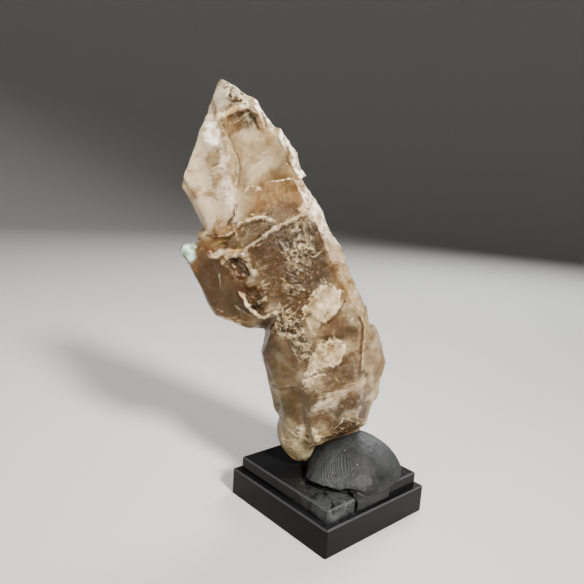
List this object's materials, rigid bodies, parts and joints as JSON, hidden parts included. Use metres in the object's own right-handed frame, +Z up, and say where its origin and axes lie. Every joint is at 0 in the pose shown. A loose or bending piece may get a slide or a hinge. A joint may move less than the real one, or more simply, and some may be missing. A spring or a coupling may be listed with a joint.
{
  "type": "quartz crystal on a stand",
  "caption": "Leaning elestial smoky quartz crystal, bedded in a pad of mounting putty on a square stepped black display plinth.",
  "frame": {"origin": "centre of the plinth's underside", "axes": "+Z up from the plinth towards the crystal's point, -Y towards the crystal's broad front face, -X the way that the crystal leans"},
  "size_m": [0.0466, 0.0354, 0.0749],
  "materials": {
    "quartz": "cloudy smoky brown quartz, glossy faces with frosted ledges",
    "putty": "matt dark grey mounting putty with finger marks",
    "plinth_plastic": "polished black"
  },
  "bodies": {
    "root": {"crystal": "quartz", "putty": "putty", "plinth": "plinth_plastic"}
  },
  "joints": []
}
